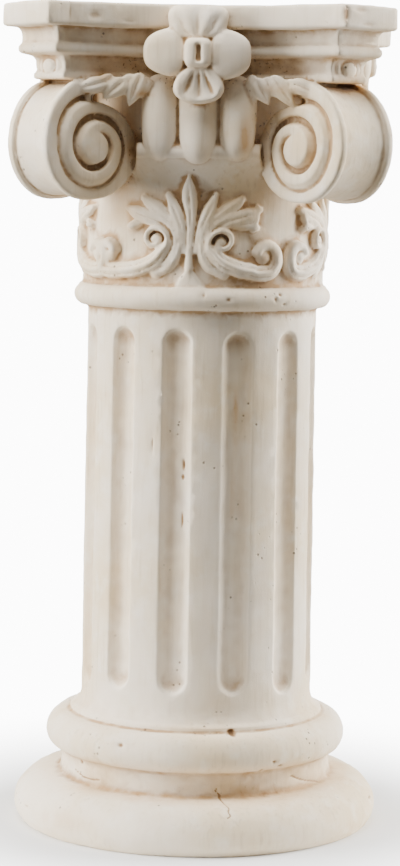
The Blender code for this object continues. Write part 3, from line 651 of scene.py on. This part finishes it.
def marks_depth(points):
    """Dents, pits and cracks: how deep each place is worn in, in millimetres."""
    turn = np.degrees(np.arctan2(points[:, 0], -points[:, 1]))
    x, y, z = points.T / MM
    depth = np.zeros(len(points))
    for at_x, at_z, wide, high, deep in ((-84.5, 699.0, 5.0, 3.6, 0.9), (-104.0, 701.0, 1.2, 7.5, 0.7),
                                         (120.5, 701.0, 3.2, 7.0, 1.7), (133.0, 706.0, 5.5, 3.0, 0.9),
                                         (139.0, 694.0, 6.0, 2.2, 0.8), (-57.0, 694.5, 5.0, 1.2, 0.5)):
        away = ((x - at_x) / wide) ** 2 + ((z - at_z) / high) ** 2
        depth = np.maximum(depth, deep * np.exp(-away ** 1.5) * (y < -100.0))
    for at_turn, at_z, wide, high, deep in ((18.7, 98.0, 3.2, 2.6, 2.2), (-26.2, 86.0, 2.4, 2.0, 1.6),
                                            (-52.5, 60.0, 2.0, 1.8, 1.6), (-5.5, 325.0, 1.6, 4.4, 1.7),
                                            (-5.7, 314.0, 1.3, 2.2, 1.3), (-5.7, 277.0, 1.1, 5.5, 1.2),
                                            (-20.8, 341.0, 0.8, 7.0, 0.9), (14.2, 466.0, 2.2, 1.8, 1.3),
                                            (3.4, 470.0, 1.6, 2.4, 1.2), (36.5, 466.5, 1.5, 2.5, 1.4),
                                            (39.0, 470.5, 1.6, 1.6, 1.4), (41.5, 462.0, 2.2, 1.2, 1.2),
                                            (34.0, 73.0, 2.0, 1.5, 1.4), (37.5, 68.0, 2.6, 1.3, 1.5),
                                            (30.0, 65.5, 1.8, 1.5, 1.2), (-63.0, 20.0, 3.0, 1.2, 0.9),
                                            (118.0, 90.0, 3.0, 2.5, 2.0), (-140.0, 30.0, 5.0, 2.5, 1.8),
                                            (165.0, 468.0, 2.0, 2.5, 1.5), (82.0, 24.0, 4.0, 1.6, 1.2)):
        around = (turn - at_turn) * math.pi / 180.0 * 105.0
        away = (around / wide) ** 2 + ((z - at_z) / high) ** 2
        depth = np.maximum(depth, deep * np.exp(-away ** 1.4))
    for line in (((11.5, 50.0), (13.0, 44.0), (14.5, 38.0), (14.0, 33.0)),
                 ((47.0, 55.0), (55.0, 49.0), (66.0, 43.5)),
                 ((-58.0, 51.0), (-49.0, 47.5), (-41.0, 48.5)),
                 ((150.0, 56.0), (156.0, 48.0), (158.0, 30.0))):
        drawn = through([(a * 2.1, b) for a, b in line], [0.9] * len(line), 6)
        wander = 0.9 * np.sin(z * 1.3 + turn * 0.7)
        away, _ = along_line(turn * 2.1 + wander, z, drawn)
        depth = np.maximum(depth, 1.3 * np.clip(1.0 - away, 0.0, 1.0))
    return depth


# Umber that was left thick, or rust that has come through: across and up on the front, how wide, how
# high, and how strong
stains = ((125.0, 645.0, 12.0, 8.0, 1.0), (111.0, 666.0, 7.0, 3.0, 0.9), (39.0, 600.0, 4.0, 14.0, 0.9),
          (-56.0, 592.0, 4.0, 10.0, 0.9), (-45.0, 636.0, 9.0, 3.0, 0.8), (-66.0, 535.0, 20.0, 14.0, 0.35),
          (-64.0, 481.0, 13.0, 3.0, 0.7), (-105.0, 20.0, 32.0, 10.0, 0.35), (34.0, 365.0, 2.5, 24.0, 0.7),
          (33.0, 300.0, 2.0, 30.0, 0.4), (60.0, 500.0, 9.0, 10.0, 0.6), (78.0, 480.0, 12.0, 8.0, 0.5),
          (-30.0, 42.5, 60.0, 2.5, 0.5), (70.0, 43.0, 40.0, 3.0, 0.6), (66.0, 641.0, 16.0, 4.0, 0.6),
          (-80.0, 650.0, 14.0, 4.0, 0.6), (0.0, 100.0, 60.0, 2.5, 0.3), (128.0, 700.0, 14.0, 8.0, 0.25))
x, y, z = points.T / MM
stained = np.zeros(len(points))
for across, up, wide, high, strength in stains:
    for facing in (-1.0, 1.0):
        blot = strength * np.exp(-((x * -facing - across) / wide) ** 2 - ((z - up) / high) ** 2)
        stained = np.maximum(stained, blot * (y * facing > 20.0) * (1.0 if facing < 0 else 0.7))
worn = marks_depth(points)
points = points - normals * (worn * MM)[:, None]
margin = 0.00005
points[:, 0] = np.clip(points[:, 0], cad_low[0] + margin, cad_high[0] - margin)
points[:, 1] = np.clip(points[:, 1], cad_low[1] + margin, cad_high[1] - margin)
points[:, 2] = np.clip(points[:, 2], 0.0, cad_high[2] - margin)
column.data.vertices.foreach_set("co", points.ravel())
column.data.update()

# Brown wash and years of dust lie in the hollows. How hollow a place is comes from the skin itself,
# against two smoothed copies of it.
points, normals, edges = mesh_arrays(column.data)
rounds = 3
smoothed = spread(points, edges, 4 * rounds)
fine = np.einsum("ij,ij->i", smoothed - points, normals) * 1000.0
smoothed = spread(smoothed, edges, 20 * rounds)
broad = np.einsum("ij,ij->i", smoothed - points, normals) * 1000.0
finder = KDTree(len(points))
for index, point in enumerate(points):
    finder.insert(point, index)
finder.balance()
triangles = len(column.data.polygons) * 2
limit = 196000
if triangles > limit:
    thin = column.modifiers.new("thin", "DECIMATE")
    thin.ratio = limit / triangles
    settle(column)
column.data.polygons.foreach_set("use_smooth", np.ones(len(column.data.polygons), dtype=bool))
points, normals, edges = mesh_arrays(column.data)
points[:, 2] = np.clip(points[:, 2], 0.0, cad_high[2] - margin)
column.data.vertices.foreach_set("co", points.ravel())
nearest = np.array([finder.find(point)[1] for point in points])

# How sheltered it is comes from rays that meet plaster nearby. The material uses this to darken sheltered
# places as painted shade.
tree = BVHTree.FromPolygons([tuple(point) for point in points],
                            [tuple(face.vertices) for face in column.data.polygons])
shelter_reach = 0.045
clear_of_skin = 0.0006
rays = [Vector((math.cos(a) * s, math.sin(a) * s, math.sqrt(1 - s * s)))
        for a, s in ((0.0, 0.0), (0.3, 0.5), (2.4, 0.5), (4.5, 0.5), (1.3, 0.85), (2.8, 0.85),
                     (4.1, 0.85), (5.6, 0.85))]
sheltered = np.zeros(len(points))
for index, (point, normal) in enumerate(zip(points, normals)):
    up = Vector(normal)
    to_normal = up.to_track_quat("Z", "Y")
    start = Vector(point) + up * clear_of_skin
    blocked = 0.0
    for ray in rays:
        hit = tree.ray_cast(start, to_normal @ ray, shelter_reach)
        if hit[0] is not None:
            blocked += 1.0 - hit[3] / shelter_reach
    sheltered[index] = blocked / len(rays)
sheltered = spread(sheltered, edges, 2)
for name, values in (("sheltered", sheltered), ("fine_hollow", fine[nearest]),
                     ("broad_hollow", broad[nearest]), ("worn", worn[nearest]),
                     ("stained", stained[nearest])):
    layer = column.data.attributes.new(name, "FLOAT", "POINT")
    layer.data.foreach_set("value", values.astype(np.float32))
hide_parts("column_pedestal")
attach(column, "root")

# The finish: cast gypsum plaster, brushed with an off-white wash and rubbed with umber that stayed
# in the hollows. It is dull and chalky, with air holes a millimetre across and faint brush lines.
# Places that nearby plaster shelters are also darkened in the colour as painted shade.
plaster = bpy.data.materials.new("cast gypsum plaster")
plaster.use_nodes = True
tree_nodes = plaster.node_tree.nodes
tree_links = plaster.node_tree.links
tree_nodes.clear()


def colour(code):
    """A linear colour from its sRGB hex value."""
    parts = [int(code[index:index + 2], 16) / 255 for index in (0, 2, 4)]
    return tuple(p / 12.92 if p <= 0.04045 else ((p + 0.055) / 1.055) ** 2.4 for p in parts) + (1.0,)


def node(kind, inputs=None, **settings):
    """Add a node with its settings; inputs are values or the outputs that feed them."""
    item = tree_nodes.new(kind)
    for key, value in settings.items():
        setattr(item, key, value)
    for key, value in (inputs or {}).items():
        if isinstance(value, bpy.types.NodeSocket):
            tree_links.new(value, item.inputs[key])
        else:
            item.inputs[key].default_value = value
    return item


def remap(value, low, high, to_low=0.0, to_high=1.0):
    return node("ShaderNodeMapRange", {0: value, 1: low, 2: high, 3: to_low, 4: to_high}).outputs[0]


def times(a, b):
    return node("ShaderNodeMath", {0: a, 1: b}, operation="MULTIPLY").outputs[0]


def plus(a, b):
    return node("ShaderNodeMath", {0: a, 1: b}, operation="ADD").outputs[0]


def tinted(base, tint, amount):
    item = node("ShaderNodeMix", data_type="RGBA", blend_type="MIX")
    for socket, value in ((item.inputs[0], amount), (item.inputs[6], base), (item.inputs[7], tint)):
        if isinstance(value, bpy.types.NodeSocket):
            tree_links.new(value, socket)
        else:
            socket.default_value = value
    return item.outputs[2]


place = node("ShaderNodeTexCoord").outputs["Object"]
patches = node("ShaderNodeTexNoise", {"Vector": place, "Scale": 9.0, "Detail": 4.0, "Roughness": 0.55})
mottle = node("ShaderNodeTexNoise", {"Vector": place, "Scale": 60.0, "Detail": 5.0, "Roughness": 0.6})
stretched = node("ShaderNodeMapping", {"Vector": place, "Scale": (1.0, 1.0, 0.08)}).outputs[0]
streaks = node("ShaderNodeTexNoise", {"Vector": stretched, "Scale": 260.0, "Detail": 3.0})
fine_in = node("ShaderNodeAttribute", attribute_name="fine_hollow").outputs["Fac"]
broad_in = node("ShaderNodeAttribute", attribute_name="broad_hollow").outputs["Fac"]
shelter_in = node("ShaderNodeAttribute", attribute_name="sheltered").outputs["Fac"]
hollows = plus(remap(fine_in, 0.05, 0.55), remap(broad_in, 0.25, 1.6))
hollows = times(hollows, remap(mottle.outputs["Fac"], 0.30, 0.62, 0.35, 1.25))
# deep is how sheltered a place is; the tints below that use it paint shade into the colour.
deep = remap(shelter_in, 0.22, 0.62)
base = tinted(colour("F1E2CB"), colour("E4CDA6"), remap(patches.outputs["Fac"], 0.40, 0.66))
base = tinted(base, colour("F6ECDA"), remap(mottle.outputs["Fac"], 0.50, 0.75, 0.0, 0.6))
# Tan dust in patches, laid on more heavily where nearby plaster shelters a place, which makes it partly
# painted shade.
dust_and_shade = times(remap(patches.outputs["Fac"], 0.50, 0.72), remap(shelter_in, 0.04, 0.35))
base = tinted(base, colour("D2B48A"), dust_and_shade)
# Umber in the hollows. Where a hollow is also sheltered it goes dark brown, partly umber and partly painted
# shade, and every sheltered place gets a paler painted shade.
base = tinted(base, colour("B08F68"), times(hollows, 0.75))
base = tinted(base, colour("6E4E31"), times(times(hollows, deep), 1.0))
base = tinted(base, colour("BFA681"), times(deep, 0.45))
brushed = times(remap(streaks.outputs["Fac"], 0.54, 0.70), remap(patches.outputs["Fac"], 0.35, 0.6))
base = tinted(base, colour("C9B28E"), times(brushed, 0.45))
crumbs = node("ShaderNodeTexNoise", {"Vector": place, "Scale": 420.0, "Detail": 2.0})
caught = times(remap(crumbs.outputs["Fac"], 0.60, 0.66), remap(shelter_in, 0.22, 0.42))
base = tinted(base, colour("5E4229"), times(caught, remap(mottle.outputs["Fac"], 0.45, 0.62)))
holes = node("ShaderNodeTexVoronoi", {"Vector": place, "Scale": 150.0, "Randomness": 1.0})
rare = node("ShaderNodeTexNoise", {"Vector": place, "Scale": 31.0, "Detail": 1.0})
pit = times(remap(holes.outputs["Distance"], 0.20, 0.10), remap(rare.outputs["Fac"], 0.60, 0.66))
stain_in = node("ShaderNodeAttribute", attribute_name="stained").outputs["Fac"]
blotch = times(stain_in, remap(mottle.outputs["Fac"], 0.30, 0.62, 0.3, 1.3))
base = tinted(base, colour("C99F68"), remap(blotch, 0.05, 0.75, 0.0, 0.75))
# The stains' dark cores gather in the hollows and, as painted shade, in sheltered places.
base = tinted(base, colour("6E4E31"), times(remap(blotch, 0.45, 1.1), plus(hollows, deep)))
worn_in = node("ShaderNodeAttribute", attribute_name="worn").outputs["Fac"]
base = tinted(base, colour("A8845C"), remap(worn_in, 0.25, 1.1, 0.0, 0.55))
base = tinted(base, colour("6A4E33"), remap(worn_in, 0.95, 1.7, 0.0, 0.8))
base = tinted(base, colour("6E5A45"), times(pit, 0.7))
grain = node("ShaderNodeTexNoise", {"Vector": place, "Scale": 900.0, "Detail": 3.0, "Roughness": 0.6})
relief = plus(times(grain.outputs["Fac"], 0.12), times(streaks.outputs["Fac"], 0.22))
relief = plus(relief, times(mottle.outputs["Fac"], 0.45))
relief = plus(relief, times(pit, -0.9))
bump = node("ShaderNodeBump", {"Height": relief, "Strength": 0.65, "Distance": 0.0012})
shader = node("ShaderNodeBsdfPrincipled", {"Base Color": base, "Normal": bump.outputs[0],
                                           "Roughness": 0.82, "Specular IOR Level": 0.35, "IOR": 1.52})
node("ShaderNodeOutputMaterial", {"Surface": shader.outputs[0]})
column.data.materials.clear()
column.data.materials.append(plaster)

# The floor is a plain pale disc that fades out at its rim. It is not part of the object, and it is
# matt, so it only catches a soft shadow.
work = bmesh.new()
bmesh.ops.create_circle(work, cap_ends=True, segments=96, radius=0.65)
floor_mesh = bpy.data.meshes.new("floor")
work.to_mesh(floor_mesh)
work.free()
floor = bpy.data.objects.new("floor", floor_mesh)
bpy.context.scene.collection.objects.link(floor)
pale = bpy.data.materials.new("pale floor")
pale.use_nodes = True
pale_nodes = pale.node_tree.nodes
pale_links = pale.node_tree.links
pale_shader = pale_nodes["Principled BSDF"]
pale_shader.inputs["Base Color"].default_value = colour("E6E6E4")
pale_shader.inputs["Roughness"].default_value = 0.9
pale_place = pale_nodes.new("ShaderNodeTexCoord")
pale_reach = pale_nodes.new("ShaderNodeVectorMath")
pale_reach.operation = "LENGTH"
pale_fade = pale_nodes.new("ShaderNodeMapRange")
pale_fade.interpolation_type = "SMOOTHSTEP"
for key, value in ((1, 0.15), (2, 0.48), (3, 1.0), (4, 0.0)):
    pale_fade.inputs[key].default_value = value
pale_links.new(pale_place.outputs["Object"], pale_reach.inputs[0])
pale_links.new(pale_reach.outputs["Value"], pale_fade.inputs[0])
pale_links.new(pale_fade.outputs[0], pale_shader.inputs["Alpha"])
floor_mesh.materials.append(pale)
floor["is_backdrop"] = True

# A white room: bright where the camera sees it, and dim as a light beside the three soft boxes
world = bpy.data.worlds.new("surround")
bpy.context.scene.world = world
world.use_nodes = True
world_nodes = world.node_tree.nodes
world_links = world.node_tree.links
dim = world_nodes["Background"]
dim.inputs[0].default_value = (1.0, 1.0, 1.0, 1.0)
dim.inputs[1].default_value = 0.2
bright = world_nodes.new("ShaderNodeBackground")
bright.inputs[0].default_value = (1.0, 1.0, 1.0, 1.0)
bright.inputs[1].default_value = 12.0
seen = world_nodes.new("ShaderNodeLightPath")
either = world_nodes.new("ShaderNodeMixShader")
world_links.new(seen.outputs["Is Camera Ray"], either.inputs[0])
world_links.new(dim.outputs[0], either.inputs[1])
world_links.new(bright.outputs[0], either.inputs[2])
world_links.new(either.outputs[0], world_nodes["World Output"].inputs["Surface"])


def soft_light(name, azimuth, distance, height, size, power):
    """A square soft box that looks at the column's middle; azimuth is degrees right of the front."""
    a = math.radians(azimuth)
    place = Vector((distance * math.sin(a), -distance * math.cos(a), height))
    light = bpy.data.lights.new(name, "AREA")
    light.shape = "RECTANGLE"
    light.size, light.size_y = size
    light.energy = power
    item = bpy.data.objects.new(name, light)
    item.location = place
    item.rotation_euler = (Vector((0.0, 0.0, 0.38)) - place).to_track_quat("-Z", "Y").to_euler()
    bpy.context.scene.collection.objects.link(item)


soft_light("left soft box", -80.0, 2.2, 0.9, (1.4, 1.8), 156.0)
soft_light("right soft box", 112.0, 2.2, 0.9, (1.4, 1.8), 190.0)
soft_light("top soft box", -30.0, 0.5, 2.3, (1.5, 1.5), 80.0)

# The camera stands a little to the right of the capital's middle, and leans to one side. Its
# place was read from the outlines in the photograph, which is 400 by 866 pixels.
camera_distance = 2.25
camera_height = 0.56
camera_turn = math.radians(2.8)
image_height = 866
focal_pixels = 2550.0
down = math.atan((433.0 - 187.0) / focal_pixels)
roll_angle = math.radians(0.95)
lens = bpy.data.cameras.new("camera")
lens.sensor_fit = "AUTO"
lens.sensor_width = 36.0
lens.lens = focal_pixels / image_height * 36.0
lens.clip_start = 0.05
eye = bpy.data.objects.new("camera", lens)
bpy.context.scene.collection.objects.link(eye)
stand = Matrix.Rotation(camera_turn, 4, "Z") @ Matrix.Translation((0.0, -camera_distance, camera_height))
eye.matrix_world = stand @ Matrix.Rotation(math.pi / 2 - down, 4, "X") @ Matrix.Rotation(roll_angle, 4, "Z")
bpy.context.scene.camera = eye

low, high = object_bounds()
